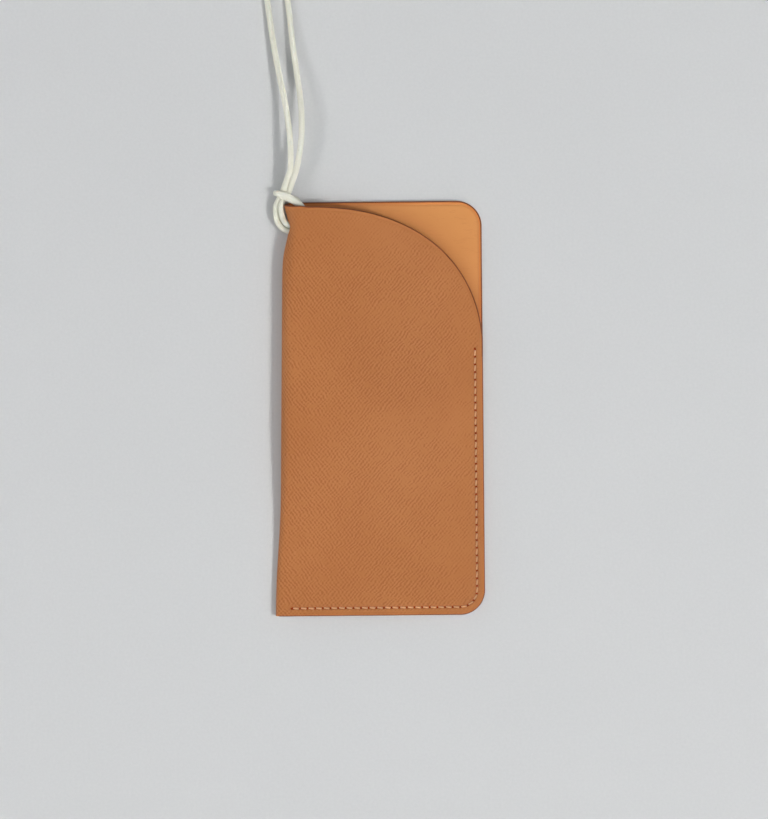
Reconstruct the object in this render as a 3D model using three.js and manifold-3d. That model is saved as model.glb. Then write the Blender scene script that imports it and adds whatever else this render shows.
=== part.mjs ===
// A leather phone case: one folded sheet of grained leather with a smooth leather lining,
// saddle stitched along the bottom and the side opposite the fold, with a curved mouth and
// a round cord hitched through a hole in the fold.
// It lies on its back panel. Millimetres, +Z up, +Y towards the mouth, the fold at -X.
import * as THREE from 'three';
import { mergeGeometries, mergeVertices } from 'three/addons/utils/BufferGeometryUtils.js';
import Module from 'manifold-3d';

const wasm = await Module();
wasm.setup();

// Driving dimensions of the case
const WIDTH = 86;
const LENGTH = 170;
const LEATHER = 1.2;
const LINING = 0.7;
const BOND = 0.05;
const SEAM_GAP = 0.2;
const SHEET = LEATHER + BOND + LINING;
const STACK = 2 * SHEET + SEAM_GAP;
const FOLD_HEIGHT = 9.6;
const PRESSED_FOLD_RADIUS = 2.3;
const CORNER_RADIUS = 10.2;
const FOLD_END = { x: -30, setback: 1.8 };
const RIGHT = WIDTH / 2;
const TOP = LENGTH / 2;

// Seam
const STITCH_INSET = 3.2;
const STITCHES = 57;
const SEAM_TOP = 24;
const SEAM_LEFT = -36.2;
const THREAD_RADIUS = 0.25;
const AWL_SLOT = { length: 1.3, width: 0.7 };
const AWL_SLANT = THREE.MathUtils.degToRad(25);
const GROOVE_WIDTH = 1.6;
const BACK_GROOVE = 0.6;
const FRONT_GROOVE = 0.4;

// Cord and its hole in the fold
const CORD_RADIUS = 1.2;
const HOLE = { y: 74.5, z: 4.2, radius: 3.1 };
const PATCH_THICKNESS = 0.3;
const PATCH_RECESS = 0.6;
const PATCH_REACH = 7;
const SWIVEL = { x: -35.2, y: 94.7, z: 6.6 };
const STRAND_SPACING = 2.5;

// Spare cord, wound in two layers beyond the mouth
const COIL_CENTRE = { x: -26.6, y: 196 };
const COIL_BASE = 1.0;
const COIL_INNER = 4.6;
const COIL_OUTER = 21.8;
const COIL_HEIGHT = 4.9;
const TIE_THICKNESS = 0.6;
const TIE_WIDTH = 4;
const KNOT_LENGTH = 9;
const KNOT_RADIUS = 3.1;
const KNOT_CENTRE = { x: COIL_CENTRE.x + 18.6, y: COIL_CENTRE.y + 20.5 };

const CLEARANCE = 0.3;

const grained = new THREE.MeshStandardMaterial({ color: 0xb97548, roughness: 0.6, metalness: 0 });
const smooth = new THREE.MeshStandardMaterial({ color: 0xcd8c52, roughness: 0.5, metalness: 0 });
const webbing = new THREE.MeshStandardMaterial({ color: 0xe4ddcc, roughness: 0.9, metalness: 0 });
const linen = new THREE.MeshStandardMaterial({ color: 0xe1af82, roughness: 0.7, metalness: 0 });
const cream = new THREE.MeshStandardMaterial({ color: 0xe4e2d0, roughness: 0.6, metalness: 0 });

// ---- solids ---------------------------------------------------------------

function toManifold(geometry) {
  const bare = geometry.clone();
  bare.deleteAttribute('normal');
  bare.deleteAttribute('uv');
  const merged = mergeVertices(bare, 1e-5);
  return new wasm.Manifold(new wasm.Mesh({
    numProp: 3,
    vertProperties: new Float32Array(merged.attributes.position.array),
    triVerts: new Uint32Array(merged.index.array),
  }));
}

function toGeometry(manifold) {
  const { vertProperties, triVerts } = manifold.getMesh();
  const geometry = new THREE.BufferGeometry();
  geometry.setAttribute('position', new THREE.BufferAttribute(vertProperties, 3));
  geometry.setIndex(new THREE.BufferAttribute(triVerts, 1));
  geometry.computeVertexNormals();
  return geometry;
}

function prism(shape, bottom, top) {
  const geometry = new THREE.ExtrudeGeometry(shape, {
    depth: top - bottom, bevelEnabled: false, curveSegments: 8,
  });
  return geometry.translate(0, 0, bottom);
}

// ---- the folded sheet -----------------------------------------------------

// The fold is pressed flat at the bottom seam and opens towards the mouth.
function foldHeight(y) {
  const open = THREE.MathUtils.smootherstep(y, -79, 0);
  return STACK + (FOLD_HEIGHT - STACK) * open;
}

// The fold narrows as it opens, and the cord pulls it in at the hole.
function foldEdge(y) {
  const opened = 1.75 * THREE.MathUtils.smootherstep(y, -TOP, -TOP + 55);
  const taper = 0.0158 * Math.max(0, y + TOP);
  const pull = 2.45 * Math.exp(-(((y - HOLE.y) / 9) ** 2));
  return -RIGHT + opened + taper + pull;
}

function foldRadius(y) {
  return PRESSED_FOLD_RADIUS + 0.9 * (foldHeight(y) - STACK) / 2;
}

// Height of the grained face of the front panel, arched from the fold down to the seam.
function frontHeight(x, y) {
  const start = foldEdge(y) + foldRadius(y);
  const end = RIGHT - STITCH_INSET - 2;
  const across = THREE.MathUtils.clamp((x - start) / (end - start), 0, 1);
  return STACK + (foldHeight(y) - STACK) * (1 - across ** 2) ** 1.5;
}

// Section of the sheet at y, at a depth below its grained face: from the back panel's edge
// round the fold to the front panel's edge. reach is how far the panels go past the fold.
function sheetSection(y, depth, reach, panelSteps) {
  const foldSteps = 8;
  const edge = foldEdge(y);
  const radius = foldRadius(y);
  const height = foldHeight(y);
  const start = edge + radius;
  const end = Math.min(start + reach, RIGHT + 1);
  const points = [[end, depth]];
  for (let i = 0; i <= foldSteps; i += 1) {
    const angle = -Math.PI / 2 - (Math.PI * i) / foldSteps;
    points.push([
      start + (radius - depth) * Math.cos(angle),
      height / 2 + (height / 2 - depth) * Math.sin(angle),
    ]);
  }
  for (let i = 1; i <= panelSteps; i += 1) {
    const x = start + ((end - start) * i) / panelSteps;
    points.push([x, frontHeight(x, y) - depth]);
  }
  return points;
}

// Stations along the case, closer together where the cord pulls the fold in.
function stations(from, to) {
  const all = [];
  for (let y = -TOP - 1; y < 58; y += 12) all.push(y);
  for (let y = 58; y <= TOP + 2; y += 3) all.push(y);
  return all.filter((y) => y >= from && y <= to);
}

function sheetSolid({ from, to, outside, inside, reach = 200, panelSteps = 9 }) {
  const rows = stations(from, to);
  const outer = rows.map((y) => sheetSection(y, outside, reach, panelSteps));
  const inner = rows.map((y) => sheetSection(y, inside, reach, panelSteps));
  const count = outer[0].length;
  const positions = [];
  rows.forEach((y, row) => {
    for (const [x, z] of [...outer[row], ...inner[row]]) positions.push(x, y, z);
  });
  const index = [];
  const quad = (a, b, c, d) => index.push(a, b, c, a, c, d);
  const last = rows.length - 1;
  for (let row = 0; row < last; row += 1) {
    const o = row * 2 * count;
    const n = o + count;
    const nextO = o + 2 * count;
    const nextN = n + 2 * count;
    for (let i = 0; i < count - 1; i += 1) {
      quad(o + i, o + i + 1, nextO + i + 1, nextO + i);
      quad(n + i, nextN + i, nextN + i + 1, n + i + 1);
    }
    quad(o, nextO, nextN, n);
    quad(o + count - 1, n + count - 1, nextN + count - 1, nextO + count - 1);
  }
  const end = last * 2 * count;
  for (let i = 0; i < count - 1; i += 1) {
    quad(i, count + i, count + i + 1, i + 1);
    quad(end + i, end + i + 1, end + count + i + 1, end + count + i);
  }
  const geometry = new THREE.BufferGeometry();
  geometry.setAttribute('position', new THREE.Float32BufferAttribute(positions, 3));
  geometry.setIndex(index);
  return toManifold(geometry);
}

// ---- cutters --------------------------------------------------------------

// Plan outline of the case: square at the fold, round at the two right corners.
function outlinePrism() {
  const shape = new THREE.Shape();
  shape.moveTo(-WIDTH, -TOP);
  shape.lineTo(RIGHT - CORNER_RADIUS, -TOP);
  shape.absarc(RIGHT - CORNER_RADIUS, -TOP + CORNER_RADIUS, CORNER_RADIUS, -Math.PI / 2, 0);
  shape.absarc(RIGHT - CORNER_RADIUS, TOP - CORNER_RADIUS, CORNER_RADIUS, 0, Math.PI / 2);
  shape.lineTo(-WIDTH, TOP);
  shape.closePath();
  return toManifold(prism(shape, -5, 20));
}

// Everything of the front panel beyond the curved mouth.
function mouthPrism() {
  const centre = { x: -28.2, y: 20.9 };
  const reach = { x: RIGHT + 0.3 - centre.x, y: 82.9 - centre.y };
  const power = 2.29;
  const steps = 24;
  const shape = new THREE.Shape();
  shape.moveTo(RIGHT + 5, centre.y);
  for (let i = 0; i <= steps; i += 1) {
    const angle = (Math.PI / 2) * (i / steps);
    shape.lineTo(
      centre.x + reach.x * Math.cos(angle) ** (2 / power),
      centre.y + reach.y * Math.sin(angle) ** (2 / power),
    );
  }
  shape.lineTo(FOLD_END.x, TOP - FOLD_END.setback);
  shape.lineTo(FOLD_END.x, TOP + 5);
  shape.lineTo(RIGHT + 5, TOP + 5);
  shape.closePath();
  return toManifold(prism(shape, STACK / 2, 20));
}

// The end of the fold slants back from the back panel's edge to the front panel's.
function foldEndPrism() {
  const slant = FOLD_END.setback / FOLD_HEIGHT;
  const shape = new THREE.Shape();
  shape.moveTo(TOP + slant, -1);
  shape.lineTo(TOP + 5, -1);
  shape.lineTo(TOP + 5, 20);
  shape.lineTo(TOP - 20 * slant, 20);
  shape.closePath();
  const sideways = new THREE.Matrix4().makeBasis(
    new THREE.Vector3(0, 1, 0), new THREE.Vector3(0, 0, 1), new THREE.Vector3(1, 0, 0),
  );
  return toManifold(prism(shape, -60, FOLD_END.x).applyMatrix4(sideways));
}

// The seam runs down the right edge, round the corner and along the bottom to the fold.
const SEAM_RADIUS = CORNER_RADIUS - STITCH_INSET;
const SEAM_CORNER = { x: RIGHT - CORNER_RADIUS, y: -TOP + CORNER_RADIUS };
const SEAM_SIDE = SEAM_TOP - SEAM_CORNER.y;
const SEAM_ARC = (Math.PI / 2) * SEAM_RADIUS;
const SEAM_LENGTH = SEAM_SIDE + SEAM_ARC + SEAM_CORNER.x - SEAM_LEFT;

function seamPoint(distance) {
  const turn = THREE.MathUtils.clamp((distance - SEAM_SIDE) / SEAM_RADIUS, 0, Math.PI / 2);
  const before = Math.max(0, SEAM_SIDE - distance);
  const after = Math.max(0, distance - SEAM_SIDE - SEAM_ARC);
  return {
    x: SEAM_CORNER.x + SEAM_RADIUS * Math.cos(turn) - after,
    y: SEAM_CORNER.y - SEAM_RADIUS * Math.sin(turn) + before,
    heading: -Math.PI / 2 - turn,
  };
}

function stitchHoles() {
  const holes = [];
  for (let i = 0; i <= STITCHES; i += 1) holes.push(seamPoint((SEAM_LENGTH * i) / STITCHES));
  return holes;
}

function awlSlots() {
  const slots = stitchHoles().map((hole) => {
    const slot = new THREE.BoxGeometry(AWL_SLOT.width, AWL_SLOT.length, 4 * STACK);
    return slot.rotateZ(hole.heading + AWL_SLANT).translate(hole.x, hole.y, STACK / 2);
  });
  return toManifold(mergeGeometries(slots));
}

// A shallow groove that the stitches lie in.
function seamGroove(bottom, top) {
  const { x, y } = SEAM_CORNER;
  const [inner, outer] = [SEAM_RADIUS - GROOVE_WIDTH / 2, SEAM_RADIUS + GROOVE_WIDTH / 2];
  const shape = new THREE.Shape();
  shape.moveTo(x + outer, SEAM_TOP + 1);
  shape.lineTo(x + outer, y);
  shape.absarc(x, y, outer, 0, -Math.PI / 2, true);
  shape.lineTo(SEAM_LEFT - 1, y - outer);
  shape.lineTo(SEAM_LEFT - 1, y - inner);
  shape.absarc(x, y, inner, -Math.PI / 2, 0, false);
  shape.lineTo(x + inner, SEAM_TOP + 1);
  shape.closePath();
  return toManifold(prism(shape, bottom, top));
}

function cordHole() {
  const drill = new THREE.CylinderGeometry(HOLE.radius, HOLE.radius, 12, 12);
  return toManifold(drill.rotateZ(Math.PI / 2).translate(foldEdge(HOLE.y), HOLE.y, HOLE.z));
}

// ---- pieces of the case ---------------------------------------------------

const cutters = {
  outline: outlinePrism(), mouth: mouthPrism(), foldEnd: foldEndPrism(), slots: awlSlots(),
  hole: cordHole(),
};

function trimmedSheet(outside, inside) {
  return sheetSolid({ from: -100, to: 100, outside, inside })
    .intersect(cutters.outline)
    .subtract(cutters.mouth)
    .subtract(cutters.foldEnd)
    .subtract(cutters.slots)
    .subtract(cutters.hole);
}

function outerLeather() {
  const recess = sheetSolid({
    from: 66, to: 83,
    outside: LEATHER - PATCH_RECESS, inside: SHEET, reach: PATCH_REACH + CLEARANCE, panelSteps: 2,
  });
  const sheet = trimmedSheet(0, LEATHER)
    .subtract(recess)
    .subtract(seamGroove(-1, BACK_GROOVE))
    .subtract(seamGroove(STACK - FRONT_GROOVE, STACK + 1));
  return toGeometry(sheet);
}

function liningLeather() {
  return toGeometry(trimmedSheet(LEATHER + BOND, SHEET));
}

// A woven patch between leather and lining that keeps the cord from tearing its hole.
function holeReinforcement() {
  const outside = LEATHER - PATCH_RECESS + 0.15;
  const shape = new THREE.Shape();
  shape.moveTo(-60, 67.5);
  shape.lineTo(0, 67.5);
  shape.lineTo(0, 81.5);
  shape.lineTo(-60, 81.5);
  shape.closePath();
  const patch = sheetSolid({
    from: 66, to: 83, outside, inside: outside + PATCH_THICKNESS, reach: PATCH_REACH, panelSteps: 2,
  });
  return toGeometry(patch.intersect(toManifold(prism(shape, -5, 20))).subtract(cutters.hole));
}

// A run of straight legs, with one step of the extrusion on each corner.
class LegPath extends THREE.Curve {
  constructor(corners) {
    super();
    this.corners = corners;
  }

  getPoint(t, target = new THREE.Vector3()) {
    const place = t * (this.corners.length - 1);
    const leg = Math.min(Math.floor(place), this.corners.length - 2);
    return target.lerpVectors(this.corners[leg], this.corners[leg + 1], place - leg);
  }

  getPointAt(t, target) {
    return this.getPoint(t, target);
  }

  getTangentAt(t, target) {
    return this.getTangent(t, target);
  }
}

function roundSection(radius, sides) {
  const points = [];
  for (let i = 0; i < sides; i += 1) {
    const angle = (2 * Math.PI * i) / sides;
    points.push(new THREE.Vector2(radius * Math.cos(angle), radius * Math.sin(angle)));
  }
  return new THREE.Shape(points);
}

function tube(path, radius, sides, steps) {
  return new THREE.ExtrudeGeometry(roundSection(radius, sides), { steps, extrudePath: path });
}

// One needle's course: it alternates between the front and the back at every hole, and
// starts a front stitch at the outer end of a slot and ends it at the inner end.
function needleCourse(holes, onFrontAtStart) {
  const front = STACK - FRONT_GROOVE + THREAD_RADIUS + 0.05;
  const back = THREAD_RADIUS + 0.03;
  const side = AWL_SLOT.length / 2 - THREAD_RADIUS - 0.05;
  const corners = [];
  const place = (hole, offset, z) => {
    const angle = hole.heading + AWL_SLANT + Math.PI / 2;
    return new THREE.Vector3(
      hole.x + offset * Math.cos(angle),
      hole.y + offset * Math.sin(angle),
      z,
    );
  };
  holes.slice(0, -1).forEach((hole, i) => {
    const onFront = (i % 2 === 0) === onFrontAtStart;
    const offset = onFront ? side : -side;
    corners.push(place(hole, offset, onFront ? front : back));
    corners.push(place(holes[i + 1], -offset, onFront ? front : back));
  });
  return corners;
}

// One thread with a needle at each end: it crosses to the back through the first hole.
function seamThread() {
  const holes = stitchHoles();
  const first = needleCourse(holes, true);
  const second = needleCourse(holes, false);
  second[0].setX(first[0].x).setY(first[0].y);
  const corners = [...first.reverse(), ...second];
  return tube(new LegPath(corners), THREAD_RADIUS, 5, corners.length - 1);
}

// ---- the cord -------------------------------------------------------------

// From the left strand round the corner, in at the hole, out of the mouth, over and under
// both strands, back into the mouth and out of the hole to the right strand.
const HITCH_ROUTE = [
  [-37.75, 91.4, 4.9], [-38.5, 89.4, 3.8], [-39.7, 86.9, 3.6], [-41.2, 84.0, 3.5],
  [-41.4, 80.5, 3.5], [-40.7, 77.1, 3.4], [-38.8, 74.5, 3.35], [-36.2, 73.3, 3.35],
  [-33.6, 73.2, 3.3], [-31.1, 74.4, 3.4], [-29.7, 77.2, 3.9], [-29.6, 80.6, 4.9],
  [-30.9, 83.4, 5.8], [-33.2, 85.0, 6.3], [-35.8, 86.6, 6.4], [-38.3, 87.7, 6.3],
  [-40.5, 88.5, 5.4], [-41.3, 88.9, 3.6], [-40.6, 88.9, 1.9], [-38.7, 88.5, 1.25],
  [-36.3, 87.6, 1.3], [-34.2, 86.7, 1.65], [-32.6, 85.8, 3.0], [-31.9, 84.0, 3.4],
  [-31.9, 81.4, 3.4], [-32.2, 78.9, 3.7], [-33.1, 76.8, 4.4], [-34.9, 75.5, 4.9],
  [-36.8, 76.0, 4.9], [-38.3, 77.8, 4.8], [-39.1, 80.6, 4.7], [-39.1, 84.1, 4.5],
  [-37.6, 86.9, 4.0], [-36.05, 89.4, 3.9], [-35.25, 91.3, 4.9],
];

const LEFT_STRAND = [
  [SWIVEL.x - STRAND_SPACING / 2, SWIVEL.y, SWIVEL.z], [-35.3, 98.0, 7.6], [-35.0, 104.9, 8.0],
  [-35.3, 112.3, 7.6], [-36.2, 119.6, 6.6], [-37.4, 127.0, 5.4], [-39.4, 137.0, 3.9],
  [-41.3, 147.5, 2.7], [-42.9, 158.0, 1.7], [-44.2, 168.0, 1.25], [-45.3, 175.0, 1.3],
  [-46.3, 181.0, 1.5], [-46.6, 184.2, 1.7],
];

const RIGHT_STRAND = [
  [SWIVEL.x + STRAND_SPACING / 2, SWIVEL.y, SWIVEL.z], [-32.8, 98.0, 7.6], [-31.4, 104.9, 8.0],
  [-30.5, 112.3, 7.6], [-30.4, 119.6, 6.6], [-30.8, 127.0, 5.4], [-32.1, 137.0, 3.9],
  [-33.6, 147.5, 2.7], [-34.7, 158.0, 1.7], [-35.9, 168.0, 1.25], [-37.2, 172.8, 1.3],
  [-38.2, 175.6, 1.4],
];

function cordTube(route, steps) {
  const points = route.map(([x, y, z]) => new THREE.Vector3(x, y, z));
  const path = new THREE.CatmullRomCurve3(points, false, 'centripetal');
  return tube(path, CORD_RADIUS, 8, steps);
}

// Outer shape of all the turns together.
function cordCoil() {
  const bevel = 1;
  const low = COIL_BASE;
  const high = COIL_BASE + COIL_HEIGHT;
  const profile = [
    [COIL_INNER + bevel, low], [COIL_OUTER - bevel, low], [COIL_OUTER, low + bevel],
    [COIL_OUTER, high - bevel], [COIL_OUTER - bevel, high], [COIL_INNER + bevel, high],
    [COIL_INNER, high - bevel], [COIL_INNER, low + bevel], [COIL_INNER + bevel, low],
  ];
  const ring = new THREE.LatheGeometry(profile.map(([x, y]) => new THREE.Vector2(x, y)), 24);
  return ring.rotateX(Math.PI / 2).translate(COIL_CENTRE.x, COIL_CENTRE.y, 0);
}

function rectangle(left, bottom, right, top) {
  return [[left, bottom], [right, bottom], [right, top], [left, top]].map(
    ([x, y]) => new THREE.Vector2(x, y),
  );
}

// A flat loop of leather lace round the turns.
function coilTie() {
  const chord = Math.sqrt(COIL_INNER ** 2 - (TIE_WIDTH / 2) ** 2);
  const [left, right] = [chord - CLEARANCE, COIL_OUTER + CLEARANCE];
  const [low, high] = [COIL_BASE - CLEARANCE, COIL_BASE + COIL_HEIGHT + CLEARANCE];
  const wall = TIE_THICKNESS;
  const band = new THREE.Shape(rectangle(left - wall, low - wall, right + wall, high + wall));
  band.holes.push(new THREE.Path(rectangle(left, low, right, high)));
  const loop = new THREE.ExtrudeGeometry(band, { depth: TIE_WIDTH, bevelEnabled: false });
  loop.translate(0, 0, -TIE_WIDTH / 2).rotateX(Math.PI / 2);
  return loop.translate(COIL_CENTRE.x, COIL_CENTRE.y, 0);
}

// The two ends are joined by a knot that lies beside the coil.
function endKnot() {
  const half = KNOT_LENGTH / 2;
  const profile = [
    [0, -half], [KNOT_RADIUS * 0.6, -half], [KNOT_RADIUS, -half * 0.5], [KNOT_RADIUS * 0.9, 0],
    [KNOT_RADIUS, half * 0.5], [KNOT_RADIUS * 0.6, half], [0, half],
  ];
  const knot = new THREE.LatheGeometry(profile.map(([x, y]) => new THREE.Vector2(x, y)), 12);
  knot.rotateZ(Math.PI / 2);
  return knot.translate(KNOT_CENTRE.x, KNOT_CENTRE.y, KNOT_RADIUS + 0.1);
}

// ---- assembly -------------------------------------------------------------

const phoneCase = new THREE.Group();

function add(parent, name, geometry, material) {
  const mesh = new THREE.Mesh(geometry, material);
  mesh.name = name;
  parent.add(mesh);
}

const sleeve = new THREE.Group();
add(sleeve, 'outer_leather', outerLeather(), grained);
add(sleeve, 'lining_leather', liningLeather(), smooth);
add(sleeve, 'hole_reinforcement', holeReinforcement(), webbing);
add(sleeve, 'seam_thread', seamThread(), linen);
add(sleeve, 'cord_hitch', cordTube(HITCH_ROUTE, 52), cream);
phoneCase.add(sleeve);

const strap = new THREE.Group();
add(strap, 'cord_strand_left', cordTube(LEFT_STRAND, 22), cream);
add(strap, 'cord_strand_right', cordTube(RIGHT_STRAND, 20), cream);
add(strap, 'cord_coil', cordCoil(), cream);
add(strap, 'coil_tie', coilTie(), grained);
add(strap, 'end_knot', endKnot(), cream);
phoneCase.add(strap);

export default phoneCase;
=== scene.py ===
"""Looks of the leather phone sleeve with its cord strap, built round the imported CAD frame.

Lengths are in millimetres until a mesh is made, and each mesh is then scaled to metres.
"""

import math

import bpy
import numpy as np
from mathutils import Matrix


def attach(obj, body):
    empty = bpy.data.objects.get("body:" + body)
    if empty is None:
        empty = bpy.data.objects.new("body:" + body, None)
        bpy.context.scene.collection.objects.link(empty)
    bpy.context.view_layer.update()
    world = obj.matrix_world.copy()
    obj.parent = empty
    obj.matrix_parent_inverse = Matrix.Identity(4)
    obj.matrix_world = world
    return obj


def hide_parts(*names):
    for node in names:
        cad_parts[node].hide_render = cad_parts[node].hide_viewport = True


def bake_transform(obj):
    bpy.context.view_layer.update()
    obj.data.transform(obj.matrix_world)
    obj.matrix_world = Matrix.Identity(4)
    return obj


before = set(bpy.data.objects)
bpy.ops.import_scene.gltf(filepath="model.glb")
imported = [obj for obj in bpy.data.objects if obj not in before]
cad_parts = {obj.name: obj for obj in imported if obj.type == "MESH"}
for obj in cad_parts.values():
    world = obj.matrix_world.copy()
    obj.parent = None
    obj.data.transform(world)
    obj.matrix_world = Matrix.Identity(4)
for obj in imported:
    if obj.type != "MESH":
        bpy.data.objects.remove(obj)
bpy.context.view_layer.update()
scene = bpy.context.scene
MM = 0.001

# ---- sizes that the CAD part also has --------------------------------------

RIGHT = 43.0
TOP = 85.0
LEATHER = 1.2
LINING = 0.7
BOND = 0.05
SHEET = LEATHER + BOND + LINING
STACK = 2 * SHEET + 0.2
FOLD_HEIGHT = 9.6
CORNER = 10.2
STITCH_INSET = 3.2
STITCHES = 57
SEAM_TOP = 24.0
SEAM_LEFT = -36.2
CORD_RADIUS = 1.2
HOLE_Y, HOLE_Z, HOLE_RADIUS = 74.5, 4.2, 3.1
FOLD_SIDE = -34.0
FOLD_END_SETBACK = 1.8
MOUTH = {"x": -28.2, "y": 20.9, "rx": 71.5, "ry": 62.0, "power": 2.29}
COIL_X, COIL_Y, COIL_Z = -26.6, 196.0, 2.2
LEFT_COIL_RADIUS, RIGHT_COIL_RADIUS = 20.4, 18.0
KNOT = np.array([COIL_X + 18.6, COIL_Y + 20.5, 3.2])
END_GAP = 1.25

# ---- camera ----------------------------------------------------------------

VIEW_HEIGHT = 337.2
CAMERA_DISTANCE = 1500.0
CAMERA_CENTRE = (2.24, -0.43)
CAMERA_ROLL = math.radians(-0.54)


def make_camera():
    camera = bpy.data.objects.new("camera", bpy.data.cameras.new("camera"))
    scene.collection.objects.link(camera)
    camera.data.sensor_fit = "VERTICAL"
    camera.data.sensor_height = 36.0
    camera.data.lens = 36.0 * CAMERA_DISTANCE / VIEW_HEIGHT
    camera.location = (CAMERA_CENTRE[0] * MM, CAMERA_CENTRE[1] * MM, CAMERA_DISTANCE * MM)
    camera.rotation_euler = (0, 0, CAMERA_ROLL)
    scene.camera = camera


make_camera()

# ---- mesh helpers ----------------------------------------------------------


def new_piece(name, vertices, faces, material, smooth_angle=40):
    mesh = bpy.data.meshes.new(name)
    mesh.from_pydata([tuple(v) for v in np.asarray(vertices) * MM], [], faces)
    mesh.validate()
    mesh.update()
    mesh.shade_smooth()
    if smooth_angle:
        mesh.set_sharp_from_angle(angle=math.radians(smooth_angle))
    piece = bpy.data.objects.new(name, mesh)
    scene.collection.objects.link(piece)
    mesh.materials.append(material)
    return piece


def smooth_route(points, spacing):
    """Centripetal Catmull-Rom through the points. Returns samples and the index of each point."""
    p = np.array(points, float)
    p = np.vstack([2 * p[0] - p[1], p, 2 * p[-1] - p[-2]])
    samples, marks = [], []
    for a, b, c, d in zip(p, p[1:], p[2:], p[3:]):
        t1 = np.linalg.norm(b - a) ** 0.5
        t2 = t1 + np.linalg.norm(c - b) ** 0.5
        t3 = t2 + np.linalg.norm(d - c) ** 0.5
        marks.append(len(samples))
        count = max(1, round(np.linalg.norm(c - b) / spacing))
        for t in t1 + (t2 - t1) * np.arange(count) / count:
            ab = a + (b - a) * t / t1
            bc = b + (c - b) * (t - t1) / (t2 - t1)
            cd = c + (d - c) * (t - t2) / (t3 - t2)
            abc = ab + (bc - ab) * t / t2
            bcd = bc + (cd - bc) * (t - t1) / (t3 - t1)
            samples.append(abc + (bcd - abc) * (t - t1) / (t2 - t1))
    marks.append(len(samples))
    samples.append(p[-2])
    return np.array(samples), marks


def frames_along(path):
    """Tangents and two side directions that turn as little as they can."""
    tangent = np.gradient(path, axis=0)
    tangent /= np.linalg.norm(tangent, axis=1)[:, None]
    side = np.empty_like(path)
    first = np.cross(tangent[0], [0, 0, 1.0])
    if np.linalg.norm(first) < 0.1:
        first = np.cross(tangent[0], [1.0, 0, 0])
    side[0] = first / np.linalg.norm(first)
    for i in range(1, len(path)):
        v = side[i - 1] - tangent[i] * (side[i - 1] @ tangent[i])
        side[i] = v / np.linalg.norm(v)
    return tangent, side, np.cross(tangent, side)


CUT_END = [(0.7, 0.02), (0.72, 0.72), (0.84, 0.94)]
SQUASH_WIDER, SQUASH_LOWER = 0.4, 0.25


def sweep(path, radius, sides, ply=0, twist=0.0, depth=0.0, squash=0.0):
    """Round tube with cut ends. ply, twist and depth give the lay of a twisted thread, and
    squash presses it flat and wide where it lies on something. CUT_END gives each end ring's
    place and radius as shares of the tube's radius."""
    tangent, side, up = frames_along(path)
    radius = np.broadcast_to(np.asarray(radius, float), len(path))
    squash = np.broadcast_to(np.asarray(squash, float), len(path))
    rings = [(path[0] - tangent[0] * radius[0] * (1 - a), side[0], up[0], radius[0] * b, 0.0,
              squash[0]) for a, b in CUT_END]
    travelled = np.concatenate([[0], np.cumsum(np.linalg.norm(np.diff(path, axis=0), axis=1))])
    rings += [(path[i], side[i], up[i], radius[i], travelled[i], squash[i])
              for i in range(len(path))]
    rings += [(path[-1] + tangent[-1] * radius[-1] * (1 - a), side[-1], up[-1], radius[-1] * b,
               travelled[-1], squash[-1]) for a, b in reversed(CUT_END)]
    angles = 2 * math.pi * np.arange(sides) / sides
    vertices = []
    for centre, s, u, r, along, flat in rings:
        lobes = 1
        if ply:
            lobes = 1 - depth + depth * np.abs(np.cos(ply * (angles + twist * along) / 2))
        ring = r * np.broadcast_to(lobes, sides)
        offsets = s * (ring * np.cos(angles))[:, None] + u * (ring * np.sin(angles))[:, None]
        wide, low = 1 + SQUASH_WIDER * flat, 1 - SQUASH_LOWER * flat
        vertices.append(centre + offsets * [wide, wide, low])
    vertices = np.vstack(vertices)
    faces = []
    for i in range(len(rings) - 1):
        for k in range(sides):
            a, b = i * sides + k, i * sides + (k + 1) % sides
            faces.append((a, b, b + sides, a + sides))
    faces.append(tuple(reversed(range(sides))))
    last = (len(rings) - 1) * sides
    faces.append(tuple(range(last, last + sides)))
    return vertices, faces


# ---- material helpers ------------------------------------------------------


def srgb(r, g, b):
    def linear(c):
        c /= 255
        return c / 12.92 if c <= 0.04045 else ((c + 0.055) / 1.055) ** 2.4
    return (linear(r), linear(g), linear(b), 1.0)


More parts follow.
